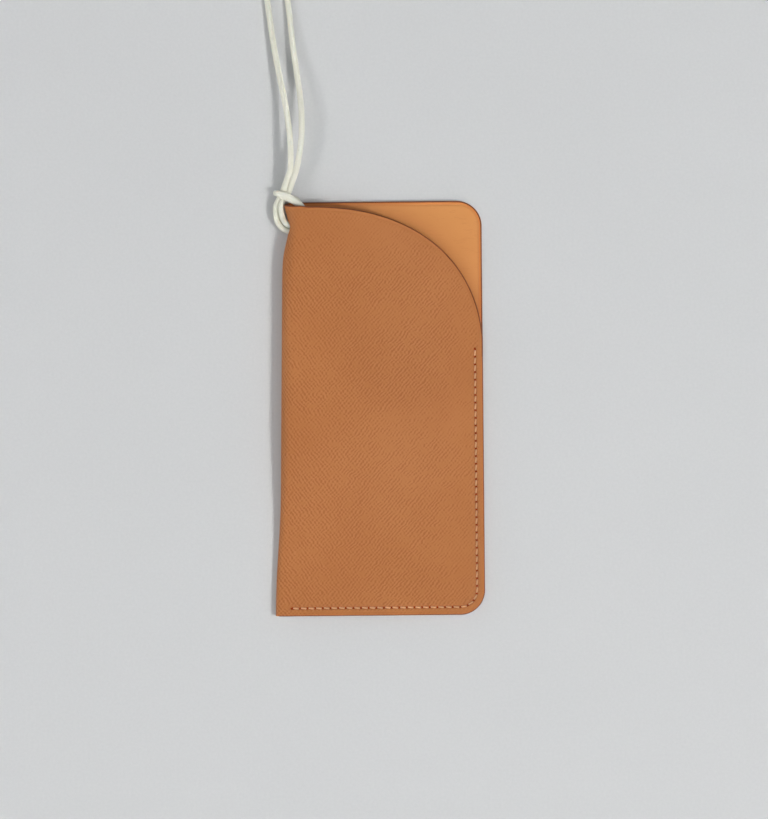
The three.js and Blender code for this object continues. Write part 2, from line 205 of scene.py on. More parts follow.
class Nodes:
    """Short forms for building a node material."""

    def __init__(self, name):
        self.material = bpy.data.materials.new(name)
        self.material.use_nodes = True
        self.tree = self.material.node_tree
        self.shader = self.tree.nodes["Principled BSDF"]

    def put(self, socket, value):
        if isinstance(value, bpy.types.NodeSocket):
            self.tree.links.new(value, socket)
        else:
            socket.default_value = value

    def node(self, kind, settings=None, **inputs):
        node = self.tree.nodes.new(kind)
        for key, value in (settings or {}).items():
            setattr(node, key, value)
        for key, value in inputs.items():
            self.put(node.inputs[key.replace("_", " ")], value)
        return node

    def math(self, operation, a, b=0.0, clamp=False):
        node = self.tree.nodes.new("ShaderNodeMath")
        node.operation = operation
        node.use_clamp = clamp
        self.put(node.inputs[0], a)
        self.put(node.inputs[1], b)
        return node.outputs[0]

    def mix(self, factor, a, b, blend="MIX"):
        node = self.tree.nodes.new("ShaderNodeMix")
        node.data_type = "RGBA"
        node.blend_type = blend
        self.put(node.inputs[0], factor)
        self.put(node.inputs[6], a)
        self.put(node.inputs[7], b)
        return node.outputs[2]

    def ramp(self, value, low, high):
        node = self.node("ShaderNodeMapRange", {"interpolation_type": "SMOOTHSTEP"})
        self.put(node.inputs["Value"], value)
        self.put(node.inputs["From Min"], low)
        self.put(node.inputs["From Max"], high)
        return node.outputs["Result"]

    def noise(self, vector, scale, detail=3.0, roughness=0.55):
        node = self.node("ShaderNodeTexNoise", Vector=vector, Scale=scale, Detail=detail,
                         Roughness=roughness)
        return node.outputs["Fac"]

    def cells(self, vector, scale, smoothness=0.5):
        node = self.node("ShaderNodeTexVoronoi", {"feature": "SMOOTH_F1"}, Vector=vector,
                         Scale=scale, Smoothness=smoothness)
        return node.outputs["Distance"]

    def mapped(self, vector, turn=0.0, scale=(1, 1, 1)):
        node = self.node("ShaderNodeMapping", Vector=vector, Rotation=(0, 0, math.radians(turn)),
                         Scale=scale)
        return node.outputs["Vector"]

    def object_space(self):
        return self.node("ShaderNodeTexCoord").outputs["Object"]

    def attribute(self, name, output="Fac"):
        node = self.node("ShaderNodeAttribute", {"attribute_name": name})
        return node.outputs[output]

    def bump(self, height, strength, distance, normal=None):
        node = self.node("ShaderNodeBump", Height=height, Strength=strength, Distance=distance)
        if normal is not None:
            self.put(node.inputs["Normal"], normal)
        return node.outputs["Normal"]

    def finish(self, colour, roughness, normal=None, **fixed):
        self.put(self.shader.inputs["Base Color"], colour)
        self.put(self.shader.inputs["Roughness"], roughness)
        if normal is not None:
            self.put(self.shader.inputs["Normal"], normal)
        for key, value in fixed.items():
            self.put(self.shader.inputs[key.replace("_", " ")], value)
        return self.material


# ---- materials -------------------------------------------------------------


def grain_rows(n, place, angle, period, wander):
    """Wavy rows that run at an angle, 1 on the ridges and -1 in the valleys."""
    across = n.node("ShaderNodeVectorMath", {"operation": "DOT_PRODUCT"})
    turn = math.radians(angle)
    n.put(across.inputs[0], place)
    n.put(across.inputs[1], (-math.sin(turn), math.cos(turn), 0.0))
    phase = n.math("MULTIPLY", across.outputs["Value"], 2 * math.pi / (period * MM))
    return n.math("SINE", n.math("ADD", phase, wander))


def grained_leather():
    """Calf leather embossed with two crossing sets of fine rows. The set that runs up to the
    right is the stronger one on the front panel, the other one at the fold."""
    n = Nodes("grained_leather")
    place = n.attribute("sheet_place", "Vector")
    split = n.node("ShaderNodeSeparateXYZ", Vector=place)
    across, along = split.outputs["X"], split.outputs["Y"]
    to_right = n.ramp(across, -0.038, 0.002)
    rough = n.math("MULTIPLY", n.noise(place, 620.0, 2.0), 5.0)
    relief = 0.0
    for angle, period, share_left, share_right in ((49, 1.24, 0.5, 1.0), (-54, 1.34, 0.95, 0.4)):
        turned = n.mapped(place, turn=-angle, scale=(0.6, 1.0, 1.0))
        wander = n.math("MULTIPLY", n.noise(turned, 190.0, 2.0), 10.0)
        rows = grain_rows(n, place, angle, period, n.math("ADD", wander, rough))
        patches = n.ramp(n.noise(turned, 430.0, 2.0), 0.3, 0.62)
        share = n.math("ADD", n.math("MULTIPLY", to_right, share_right - share_left), share_left)
        rows = n.math("MULTIPLY", n.math("MULTIPLY", rows, share), patches)
        relief = n.math("ADD", rows, relief)
    fade = n.math("SUBTRACT", 1.0, n.math("MULTIPLY", n.ramp(across, 0.016, 0.038), 0.4))
    fade = n.math("MULTIPLY", fade, n.math("SUBTRACT", 1.0, n.math(
        "MULTIPLY", n.ramp(along, 0.04, 0.08), 0.45)))
    pressed = n.attribute("pressed")
    calm = n.ramp(n.noise(n.mapped(place, turn=-50, scale=(0.5, 1.0, 1.0)), 34.0, 2.0), 0.66, 0.4)
    fade = n.math("MULTIPLY", fade, n.math("ADD", n.math("MULTIPLY", calm, 0.5), 0.6))
    fade = n.math("MULTIPLY", fade, n.math("SUBTRACT", 1.0, pressed))
    relief = n.math("ADD", n.math("MULTIPLY", n.math("MULTIPLY", relief, fade), 0.5), 0.5)
    valley = n.ramp(relief, 0.5, 0.1)
    crest = n.ramp(relief, 0.5, 0.95)
    pores = n.cells(place, 2300.0, 0.3)
    tone = n.ramp(n.noise(place, 22.0, 3.0), 0.3, 0.7)
    colour = n.mix(tone, srgb(175, 108, 56), srgb(182, 115, 62))
    colour = n.mix(n.math("MULTIPLY", valley, 0.5), colour, srgb(144, 78, 36))
    colour = n.mix(n.math("MULTIPLY", crest, 0.3), colour, srgb(198, 132, 80))
    colour = n.mix(n.math("MULTIPLY", n.attribute("edge_wear"), 0.3), colour, srgb(204, 112, 52))
    colour = n.mix(n.math("MULTIPLY", n.attribute("sewn"), 0.45), colour, srgb(140, 74, 34))
    speck = n.ramp(n.noise(place, 1500.0, 2.0), 0.66, 0.78)
    colour = n.mix(n.math("MULTIPLY", speck, 0.12), colour, srgb(222, 170, 122))
    roughness = n.math("ADD", n.math("MULTIPLY", valley, 0.12), 0.56)
    normal = n.bump(relief, 0.35, 0.00016)
    normal = n.bump(pores, 0.10, 0.00005, normal)
    return n.finish(colour, roughness, normal, Specular_IOR_Level=0.3)


def smooth_leather():
    """Vegetable-tanned lining: smooth, with faint clouds, pores and rub marks, and painted shade:
    darker and redder towards the mouth's curve, where the front panel's edge shades it."""
    n = Nodes("smooth_leather")
    place = n.object_space()
    clouds = n.noise(n.mapped(place, turn=20, scale=(1.0, 1.6, 1.0)), 30.0, 4.0)
    pores = n.cells(place, 1900.0, 0.2)
    colour = n.mix(clouds, srgb(208, 137, 72), srgb(220, 152, 86))
    fibre = n.noise(n.mapped(place, turn=70, scale=(1.0, 7.0, 1.0)), 260.0, 3.0)
    colour = n.mix(n.math("MULTIPLY", n.ramp(fibre, 0.55, 0.75), 0.25), colour,
                   srgb(190, 116, 62))
    # painted shade: darker, redder lining near the mouth's curve, standing in for the front panel's
    # shadow
    colour = n.mix(n.math("MULTIPLY", n.attribute("painted_mouth_shade"), 0.42), colour, srgb(184, 106, 50))
    worn = n.attribute("edge_wear")
    colour = n.mix(n.math("MULTIPLY", worn, 0.75), colour, srgb(216, 124, 56))
    creased = n.attribute("pressed")
    colour = n.mix(n.math("MULTIPLY", creased, 0.22), colour, srgb(176, 100, 48))
    roughness = n.math("ADD", n.math("MULTIPLY", clouds, 0.14), 0.42)
    normal = n.bump(pores, 0.08, 0.00006)
    normal = n.bump(fibre, 0.05, 0.0001, normal)
    return n.finish(colour, roughness, normal, Specular_IOR_Level=0.4)


def edge_paint():
    """Dyed and rubbed edges, darker where the dye pooled."""
    n = Nodes("edge_paint")
    place = n.object_space()
    pooled = n.noise(place, 420.0, 3.0)
    colour = n.mix(pooled, srgb(104, 52, 28), srgb(134, 74, 42))
    rubbed = n.ramp(n.noise(place, 90.0, 2.0), 0.5, 0.7)
    colour = n.mix(n.math("MULTIPLY", rubbed, 0.4), colour, srgb(156, 92, 54))
    normal = n.bump(n.noise(place, 2400.0, 2.0), 0.12, 0.00008)
    return n.finish(colour, n.math("ADD", n.math("MULTIPLY", pooled, 0.2), 0.42), normal,
                    Specular_IOR_Level=0.2)


def hole_fibre_and_painted_shade():
    """Raw fibre inside the stitch holes, its dark red-brown partly the fibre's own colour and
    partly painted shade of the holes' depth.
    """
    n = Nodes("hole_fibre_and_painted_shade")
    fibre = n.noise(n.object_space(), 2600.0, 3.0)
    # painted shade: the walls are coloured darker than the leather so that the holes read dark
    return n.finish(n.mix(fibre, srgb(146, 52, 22), srgb(172, 74, 36)), 1.0,
                    Specular_IOR_Level=0.0)


def linen_thread():
    n = Nodes("linen_thread")
    place = n.object_space()
    fibre = n.noise(place, 3200.0, 3.0)
    colour = n.mix(fibre, srgb(210, 150, 102), srgb(238, 188, 142))
    soiled = n.ramp(n.noise(place, 240.0, 2.0), 0.55, 0.75)
    colour = n.mix(n.math("MULTIPLY", soiled, 0.35), colour, srgb(196, 132, 82))
    return n.finish(colour, 0.55, n.bump(fibre, 0.25, 0.00005), Sheen_Weight=0.2)


def cord_leather():
    """Cream round cord with a fine pored skin, a little darker in the creases."""
    n = Nodes("cord_leather")
    place = n.object_space()
    clouds = n.noise(place, 150.0, 4.0)
    pores = n.cells(place, 2600.0, 0.2)
    colour = n.mix(clouds, srgb(218, 215, 196), srgb(238, 236, 222))
    marks = n.ramp(n.noise(place, 900.0, 2.0), 0.64, 0.74)
    colour = n.mix(n.math("MULTIPLY", marks, 0.3), colour, srgb(190, 184, 158))
    normal = n.bump(pores, 0.12, 0.00006)
    normal = n.bump(clouds, 0.2, 0.0002, normal)
    return n.finish(colour, n.math("ADD", n.math("MULTIPLY", clouds, 0.15), 0.42), normal,
                    Specular_IOR_Level=0.4, Subsurface_Weight=0.05)


def woven_patch():
    n = Nodes("woven_patch")
    place = n.object_space()
    wave = n.node("ShaderNodeTexChecker", Vector=place, Scale=2400.0)
    colour = n.mix(wave.outputs["Fac"], srgb(214, 204, 182), srgb(236, 230, 214))
    return n.finish(colour, 0.9, n.bump(wave.outputs["Fac"], 0.3, 0.0001))


def tabletop():
    """Pale matt board with the faintest mottling."""
    n = Nodes("tabletop")
    place = n.object_space()
    fine = n.noise(place, 900.0, 4.0, 0.7)
    broad = n.noise(place, 14.0, 3.0)
    colour = n.mix(n.math("ADD", n.math("MULTIPLY", fine, 0.8), n.math("MULTIPLY", broad, 0.2)),
                   srgb(196, 197, 197), srgb(212, 212, 212))
    return n.finish(colour, 0.8, n.bump(fine, 0.03, 0.0002), Specular_IOR_Level=0.2)


GRAINED = grained_leather()
SMOOTH = smooth_leather()
EDGE = edge_paint()
PIT = hole_fibre_and_painted_shade()
THREAD = linen_thread()
CORD = cord_leather()

# ---- the cord --------------------------------------------------------------

LEFT_STRAND = [
    (-36.45, 94.7, 6.6), (-35.3, 98.0, 7.6), (-35.0, 104.9, 8.0), (-35.3, 112.3, 7.6),
    (-36.2, 119.6, 6.6), (-37.4, 127.0, 5.4), (-39.4, 137.0, 3.9), (-41.3, 147.5, 2.7),
    (-42.9, 158.0, 1.7), (-44.2, 168.0, 1.25), (-45.3, 175.0, 1.3), (-46.3, 181.0, 1.5),
    (-46.6, 184.2, 1.7), (-46.9, 190.0, 2.0),
]
RIGHT_STRAND = [
    (-33.95, 94.7, 6.6), (-32.8, 98.0, 7.6), (-31.4, 104.9, 8.0), (-30.5, 112.3, 7.6),
    (-30.4, 119.6, 6.6), (-30.8, 127.0, 5.4), (-32.1, 137.0, 3.9), (-33.6, 147.5, 2.7),
    (-34.7, 158.0, 1.7), (-35.9, 168.0, 1.25), (-37.2, 172.8, 1.3), (-38.2, 175.6, 1.4),
    (-41.4, 182.0, 1.6), (-43.8, 189.0, 2.0),
]
HITCH_ROUTE = [
    (-37.75, 91.4, 4.9), (-38.5, 89.4, 3.8), (-39.7, 86.9, 3.6), (-41.2, 84.0, 3.5),
    (-41.4, 80.5, 3.5), (-40.7, 77.1, 3.4), (-38.8, 74.5, 3.35), (-36.2, 73.3, 3.35),
    (-33.6, 73.2, 3.3), (-31.1, 74.4, 3.4), (-29.7, 77.2, 3.9), (-29.6, 80.6, 4.9),
    (-30.9, 83.4, 5.8), (-33.2, 85.0, 6.3), (-35.8, 86.6, 6.4), (-38.3, 87.7, 6.3),
    (-40.5, 88.5, 5.4), (-41.3, 88.9, 3.6), (-40.6, 88.9, 1.9), (-38.7, 88.5, 1.25),
    (-36.3, 87.6, 1.3), (-34.2, 86.7, 1.65), (-32.6, 85.8, 3.0), (-31.9, 84.0, 3.4),
    (-31.9, 81.4, 3.4), (-32.2, 78.9, 3.7), (-33.1, 76.8, 4.4), (-34.9, 75.5, 4.9),
    (-36.8, 76.0, 4.9), (-38.3, 77.8, 4.8), (-39.1, 80.6, 4.7), (-39.1, 84.1, 4.5),
    (-37.6, 86.9, 4.0), (-36.05, 89.4, 3.9), (-35.25, 91.3, 4.9),
]
TURN_PITCH = 4 * CORD_RADIUS
INWARD_TURNS = 2.5
RISING_TURN = 0.25
TURN_POINTS = 16


def coil_turns(outer_radius):
    """In along the lower layer, up at the middle, and out again along the upper layer."""
    points = []
    total = 2 * INWARD_TURNS + RISING_TURN
    for i in range(round(total * TURN_POINTS) + 1):
        turn = i / TURN_POINTS
        inward = min(turn, INWARD_TURNS)
        outward = max(0.0, turn - INWARD_TURNS - RISING_TURN)
        rise = (turn - inward - outward) / RISING_TURN
        radius = outer_radius - TURN_PITCH * (inward - outward)
        angle = math.pi - 2 * math.pi * turn
        points.append((COIL_X + radius * math.cos(angle), COIL_Y + radius * math.sin(angle),
                       COIL_Z + 2 * CORD_RADIUS * rise * rise * (3 - 2 * rise)))
    return points


def tail(side):
    """From the coil's top into the knot, side by side with the other end."""
    y = KNOT[1] + side * END_GAP
    return [(COIL_X + 7.0, y, 4.4), (COIL_X + 12.0, y, 3.6), (COIL_X + 15.5, y, KNOT[2]),
            (COIL_X + 22.5, y, KNOT[2])]


left_end = LEFT_STRAND + coil_turns(LEFT_COIL_RADIUS) + tail(1)
right_end = RIGHT_STRAND + coil_turns(RIGHT_COIL_RADIUS) + tail(-1)
ROUTE_STEP = 0.5
whole, marks = smooth_route(left_end[::-1] + HITCH_ROUTE + right_end, ROUTE_STEP)
under_wrap_left = marks[len(left_end) + 1]
under_wrap_right = marks[len(left_end) + len(HITCH_ROUTE) - 2]
left_path = whole[:under_wrap_left + 1][::-1]
hitch_path = whole[under_wrap_left:under_wrap_right + 1]
right_path = whole[under_wrap_right:]


def make_cord(name, path, node_names, squash=0.0):
    vertices, faces = sweep(path, CORD_RADIUS, 20, squash=squash)
    piece = new_piece(name, vertices, faces, CORD, smooth_angle=0)
    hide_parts(*node_names)
    return piece


def make_knot():
    """Three turns of one end round both, drawn tight, and the two cut ends beyond."""
    points = []
    turns, steps = 2.6, 14
    half_length, half_width, half_height = 3.3, 2.2, 1.75
    for i in range(round(turns * steps) + 1):
        angle = 2 * math.pi * i / steps + 0.8
        along = -half_length + 2 * half_length * i / (turns * steps)
        points.append((KNOT[0] + along, KNOT[1] + half_width * math.cos(angle),
                       KNOT[2] + half_height * math.sin(angle)))
    path, _ = smooth_route(points, ROUTE_STEP)
    vertices, faces = sweep(path, CORD_RADIUS * 0.98, 16)
    ends = []
    for side in (-1, 1):
        route = [(KNOT[0] + 3.0, KNOT[1] + side * END_GAP, KNOT[2]),
                 (KNOT[0] + 5.2, KNOT[1] + side * 1.6, 2.5),
                 (KNOT[0] + 7.6, KNOT[1] + side * 2.4, 1.4)]
        ends.append(sweep(smooth_route(route, ROUTE_STEP)[0], CORD_RADIUS * 0.97, 16))
    for more_vertices, more_faces in ends:
        offset = len(vertices)
        vertices = np.vstack([vertices, more_vertices])
        faces += [tuple(i + offset for i in face) for face in more_faces]
    knot = new_piece("knot", vertices, faces, CORD, smooth_angle=0)
    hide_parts("end_knot")
    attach(knot, "strap")
    return knot


def make_tie():
    """A flat leather lace bent round the turns, its corners rounded by the pull."""
    inner, outer, low, high = 4.0, 22.1, 0.7, 6.2
    corner, wall, half_width = 1.1, 0.6, 1.9
    outline = []
    for cx, cz, start in ((outer - corner, high - corner, 0), (inner + corner, high - corner, 90),
                          (inner + corner, low + corner, 180), (outer - corner, low + corner, 270)):
        for step in range(7):
            angle = math.radians(start + 15 * step)
            outline.append((cx, cz, math.cos(angle), math.sin(angle)))
    profile = [(0.0, -half_width), (0.0, half_width), (wall * 0.7, half_width),
               (wall, half_width - 0.25), (wall, -half_width + 0.25), (wall * 0.7, -half_width)]
    vertices = []
    for cx, cz, c, s in outline:
        for out, across in profile:
            reach = corner - 0.1 + out
            vertices.append((COIL_X + cx + reach * c, COIL_Y + across, cz + reach * s))
    count, rim = len(outline), len(profile)
    faces = []
    for i in range(count):
        for k in range(rim):
            a, b = i * rim + k, i * rim + (k + 1) % rim
            c, d = ((i + 1) % count) * rim + (k + 1) % rim, ((i + 1) % count) * rim + k
            faces.append((a, d, c, b))
    tie = new_piece("tie", vertices, faces, GRAINED, smooth_angle=50)
    bare_attributes(tie)
    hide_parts("coil_tie")
    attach(tie, "strap")
    return tie


def bare_attributes(piece):
    """Grain places for a piece that isn't part of the folded sheet."""
    mesh = piece.data
    place = mesh.attributes.new("sheet_place", "FLOAT_VECTOR", "POINT")
    coordinates = np.empty(3 * len(mesh.vertices), np.float32)
    mesh.vertices.foreach_get("co", coordinates)
    place.data.foreach_set("vector", coordinates)
    for name in ("pressed", "edge_wear", "sewn"):
        mesh.attributes.new(name, "FLOAT", "POINT")


tie = make_tie()
knot = make_knot()
WRAP_POINTS = (12, 14, 15, 16)
wrap_marks = [marks[len(left_end) + i] - under_wrap_left for i in WRAP_POINTS]
wrap_squash = np.interp(np.arange(len(hitch_path)), wrap_marks, [0.0, 1.0, 1.0, 0.0])
hitch = make_cord("hitch", hitch_path, ["cord_hitch"], wrap_squash)
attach(hitch, "case")
left_cord = make_cord("left_cord", left_path, ["cord_strand_left", "cord_coil"])
right_cord = make_cord("right_cord", right_path, ["cord_strand_right", "cord_coil"])
for strand in (left_cord, right_cord):
    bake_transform(strand)

# ---- the folded sheets -----------------------------------------------------


FOLD_FLAT, FOLD_OPEN = -79, 0
EDGE_IN, EDGE_IN_OVER, EDGE_LEAN = 1.75, 55, 0.0158
HITCH_PULL, HITCH_PULL_REACH = 2.45, 9
FLAT_RADIUS, RADIUS_GROWTH = 2.3, 0.9


def smootherstep(x, low, high):
    t = min(1.0, max(0.0, (x - low) / (high - low)))
    return t ** 3 * (t * (t * 6 - 15) + 10)


def fold_height(y):
    """The fold is flat at the bottom, where the seam holds it, and opens towards the mouth."""
    return STACK + (FOLD_HEIGHT - STACK) * smootherstep(y, FOLD_FLAT, FOLD_OPEN)


def fold_edge(y):
    """The fold's outer x: it moves in as the fold opens, and more where the hitch pulls on it."""
    opened = EDGE_IN * smootherstep(y, -TOP, -TOP + EDGE_IN_OVER) + EDGE_LEAN * max(0.0, y + TOP)
    return -RIGHT + opened + HITCH_PULL * math.exp(-(((y - HOLE_Y) / HITCH_PULL_REACH) ** 2))


def fold_radius(y):
    return FLAT_RADIUS + RADIUS_GROWTH * (fold_height(y) - STACK) / 2


def front_height(x, y):
    """The front panel's height, from the fold down to the seam."""
    start = fold_edge(y) + fold_radius(y)
    end = RIGHT - STITCH_INSET - 2
    across = min(1.0, max(0.0, (x - start) / (end - start)))
    return STACK + (fold_height(y) - STACK) * (1 - across ** 2) ** 1.5


def outline_right(y, inset):
    """The right side's x at y, on the case's outline moved in by inset."""
    radius = CORNER - inset
    beyond = abs(y) - (TOP - CORNER)
    if beyond <= 0:
        return RIGHT - inset
    return RIGHT - CORNER + math.sqrt(max(0.0, radius ** 2 - beyond ** 2))


def mouth_right(y, inset):
    """The front panel's x at y: the outline, then the curve, then the short edge at the fold."""
    if y <= MOUTH["y"]:
        return outline_right(y, inset)
    rise = (y - MOUTH["y"]) / (MOUTH["ry"] - inset)
    if rise < 1:
        share = (1 - rise ** MOUTH["power"]) ** (1 / MOUTH["power"])
        return min(RIGHT - inset, MOUTH["x"] + (MOUTH["rx"] - inset) * share)
    top = MOUTH["y"] + MOUTH["ry"] - inset
    slide = (y - top) / (TOP - FOLD_END_SETBACK - inset - top)
    start = fold_edge(y) + fold_radius(y)
    return MOUTH["x"] + (start + 1.5 - MOUTH["x"]) * min(1.0, max(0.0, slide))


def setback(x, y, height):
    """How far the slant of the fold's end moves a point of the grained face down the case."""
    near_end, near_fold = smootherstep(y, 78, TOP), smootherstep(-x, 24, 32)
    return FOLD_END_SETBACK * height / FOLD_HEIGHT * near_end * near_fold


def front_right(y, inset):
    """Where row y of the front panel meets the mouth once the fold's end is slanted."""
    low, high = fold_edge(y) + fold_radius(y), RIGHT
    for _ in range(24):
        x = (low + high) / 2
        if x < mouth_right(y - setback(x, y, front_height(x, y)), inset):
            low = x
        else:
            high = x
    return low


FAR = 99.0
EDGE_BULGE = 0.35
MARGIN = [0, 0.25, 0.5, 0.7, 0.85, 1.0, 1.15, 1.35, 1.7, 2.1, 2.4, 2.65, 2.9, 3.1, 3.35, 3.7, 4.3]


def row_places():
    """The y of each row, close together at the edges and along the mouth's curve."""
    low = [-TOP + EDGE_BULGE + d for d in
           [0, 0.02, 0.08, 0.18, 0.32, 0.5, 0.7, 0.85, 1.0, 1.15, 1.35, 1.7, 2.1, 2.4, 2.65, 2.9,
            3.1, 3.35, 3.7, 4.3, 5.1, 6.1, 7.3, 8.6]]
    middle = list(np.linspace(-TOP + CORNER + 1.2, MOUTH["y"], 44))
    reach = MOUTH["ry"] - EDGE_BULGE
    curve = [MOUTH["y"] + reach * math.sin(a) ** (2 / MOUTH["power"])
             for a in np.linspace(0, math.pi / 2, 64)[1:]]
    high = [TOP - EDGE_BULGE - d for d in
            [1.8, 1.5, 1.25, 1.0, 0.8, 0.62, 0.5, 0.4, 0.3, 0.22, 0.15, 0.09, 0.04, 0.01, 0]]
    return low + middle + curve + [y for y in high if y > curve[-1] + 0.02]


def seam_distance(x, y):
    """Distance in plan to the stitched line."""
    above = np.where(y > SEAM_TOP, FAR, 0.0)
    corner_x, corner_y = RIGHT - CORNER, -TOP + CORNER
    radius = CORNER - STITCH_INSET
    dx, dy = x - corner_x, corner_y - y
    round_part = np.abs(np.hypot(np.maximum(dx, 0), np.maximum(dy, 0)) - radius)
    side = np.abs(x - (RIGHT - STITCH_INSET))
    bottom = np.abs(y - (-TOP + STITCH_INSET)) + np.where(x < SEAM_LEFT, SEAM_LEFT - x, 0)
    nearest = np.where((dx > 0) & (dy > 0), round_part, np.where(dx > 0, side, bottom))
    return nearest + above


def outline_distance(x, y):
    """Distance in plan from the case's outline, inwards, except at the fold."""
    dx = np.maximum(x - (RIGHT - CORNER), 0)
    dy = np.maximum(np.abs(y) - (TOP - CORNER), 0)
    return CORNER - np.maximum(np.hypot(dx, dy), np.maximum(dx, dy))


def mouth_distance(x, y):
    """Distance in plan from the mouth's curve, inwards."""
    u = np.maximum((x - MOUTH["x"]) / MOUTH["rx"], 0)
    v = np.maximum((y - MOUTH["y"]) / MOUTH["ry"], 0)
    p = MOUTH["power"]
    value = (u ** p + v ** p) ** (1 / p) + 1e-9
    gradient = np.hypot((u / value) ** (p - 1) / MOUTH["rx"], (v / value) ** (p - 1) / MOUTH["ry"])
    return (1 - value) / np.maximum(gradient, 1e-6)


def edge_distance(x, y, on_front):
    return np.where(on_front & (y > MOUTH["y"]), np.minimum(mouth_distance(x, y), FAR),
                    outline_distance(x, y))


FOLD_STEPS = 22
BACK_STEPS = 18
FRONT_STEPS = 34
RIM_STEPS = 6
CREASE_INSET = 1.45
SEWN_DEPTH, CREASE_DEPTH = 0.2, 0.10


def section(y, depth):
    """One row of the sheet at a depth under its grained face."""
    start = fold_edge(y) + fold_radius(y)
    radius, height = fold_radius(y), fold_height(y)
    back = outline_right(y, EDGE_BULGE)
    front = front_right(y, EDGE_BULGE)
    squeeze = min(1.0, (front - start) / (2 * MARGIN[-1]))
    back_xs = [back - d for d in MARGIN]
    back_xs += list(np.linspace(back_xs[-1], start, BACK_STEPS)[1:-1])
    points = [(x, y, depth) for x in back_xs]
    for i in range(FOLD_STEPS + 1):
        angle = -math.pi / 2 - math.pi * i / FOLD_STEPS
        x = start + (radius - depth) * math.cos(angle)
        face = height / 2 + height / 2 * math.sin(angle)
        points.append((x, y - setback(x, y, face),
                       height / 2 + (height / 2 - depth) * math.sin(angle)))
    front_xs = [front - d * squeeze for d in reversed(MARGIN)]
    front_xs = list(np.linspace(start, front_xs[0], FRONT_STEPS)[1:-1]) + front_xs
    for x in front_xs:
        face = front_height(x, y)
        points.append((x, y - setback(x, y, face), face - depth))
    return points


def ripple(x, y):
    """Slow unevenness of a soft panel."""
    return (0.10 * math.sin(x / 17 + 1.3) * math.sin(y / 29 + 0.4)
            + 0.06 * math.sin(x / 9 + y / 13) * math.sin(y / 11 - x / 23))


def pressed_lines(points, face_up, on_front, depth):
    """Dips of the sewn line and of the creased line just inside the edge."""
    x, y = points[:, 0], points[:, 1]
    sewn = SEWN_DEPTH * np.exp(-(seam_distance(x, y) / 0.5) ** 2)
    edge = edge_distance(x, y, on_front)
    crease = CREASE_DEPTH * np.exp(-((edge - CREASE_INSET) / 0.26) ** 2)
    flat = np.where(x > FOLD_SIDE, 1.0, 0.0)
    points[:, 2] -= face_up * flat * (sewn * (depth == 0) + crease)
    return points


def sheet_surface(depth, grained_side):
    """One face of a sheet as a grid of points, row by row up the case."""
    grid = np.array([section(y, depth) for y in row_places()])
    height = np.array([fold_height(y) for y in grid[:, 0, 1]])[:, None]
    count = grid.shape[1]
    is_back = np.arange(count) < len(MARGIN) + BACK_STEPS - 2
    is_front = np.arange(count) >= count - (len(MARGIN) + FRONT_STEPS - 2)
    lift = np.vectorize(ripple)(grid[:, :, 0], grid[:, :, 1])
    free = np.clip((grid[:, :, 1] + 78) / 30, 0, 1) * np.clip((36 - grid[:, :, 0]) / 20, 0, 1)
    grid[:, :, 2] += np.where(is_front[None, :], lift * free * np.clip(height - STACK, 0, 1), 0)
    flat = grid.reshape(-1, 3)
    on_front = np.broadcast_to(is_front, grid.shape[:2]).ravel()
    on_back = np.broadcast_to(is_back, grid.shape[:2]).ravel()
    facing = np.where(on_front, 1.0, np.where(on_back, -1.0, 0.0)) * (1 if grained_side else -1)
    pressed_lines(flat, facing, on_front, depth)
    return flat.reshape(grid.shape)


def sheet_mesh(outside, inside):
    """Closed sheet between two depths, with rounded edges all round."""
    top, bottom = sheet_surface(outside, True), sheet_surface(inside, False)
    rows, columns = top.shape[:2]
    vertices = [top.reshape(-1, 3), bottom.reshape(-1, 3)]
    size = rows * columns
    faces = []
    for r in range(rows - 1):
        for c in range(columns - 1):
            a = r * columns + c
            faces.append((a, a + 1, a + columns + 1, a + columns))
            faces.append((size + a, size + a + columns, size + a + columns + 1, size + a + 1))
    border = ([(r, 0) for r in range(rows)]
              + [(rows - 1, c) for c in range(1, columns)]
              + [(r, columns - 1) for r in range(rows - 2, -1, -1)]
              + [(0, c) for c in range(columns - 2, 0, -1)])
    rim_top = np.array([top[r, c] for r, c in border])
    rim_bottom = np.array([bottom[r, c] for r, c in border])
    half = (rim_top - rim_bottom) / 2
    ahead = np.roll(rim_top, -1, axis=0) - np.roll(rim_top, 1, axis=0)
    outward = np.cross(half, ahead)
    outward /= np.linalg.norm(outward, axis=1)[:, None]
    for k in range(1, RIM_STEPS):
        angle = math.pi * k / RIM_STEPS
        vertices.append((rim_top + rim_bottom) / 2 + half * math.cos(angle)
                        + outward * EDGE_BULGE * math.sin(angle) ** 0.8)
    ids = [[r * columns + c for r, c in border]]
    ids += [list(range(2 * size + k * len(border), 2 * size + (k + 1) * len(border)))
            for k in range(RIM_STEPS - 1)]
    ids.append([size + r * columns + c for r, c in border])
    for upper, lower in zip(ids, ids[1:]):
        for i in range(len(border)):
            j = (i + 1) % len(border)
            faces.append((upper[i], upper[j], lower[j], lower[i]))
    return np.vstack(vertices), faces


def sheet_place(x, y, z):
    """Where a point of the case lies on the sheet before it was folded."""
    start = fold_edge(y) + fold_radius(y)
    radius, height = fold_radius(y), fold_height(y)
    round_length = math.pi * (radius + height / 2) / 2
    if x >= start:
        return x if z > STACK / 2 else start - round_length - (x - start)
    angle = math.atan2((z - height / 2) / (height / 2), (start - x) / radius)
    return start - round_length * (0.5 - angle / math.pi)


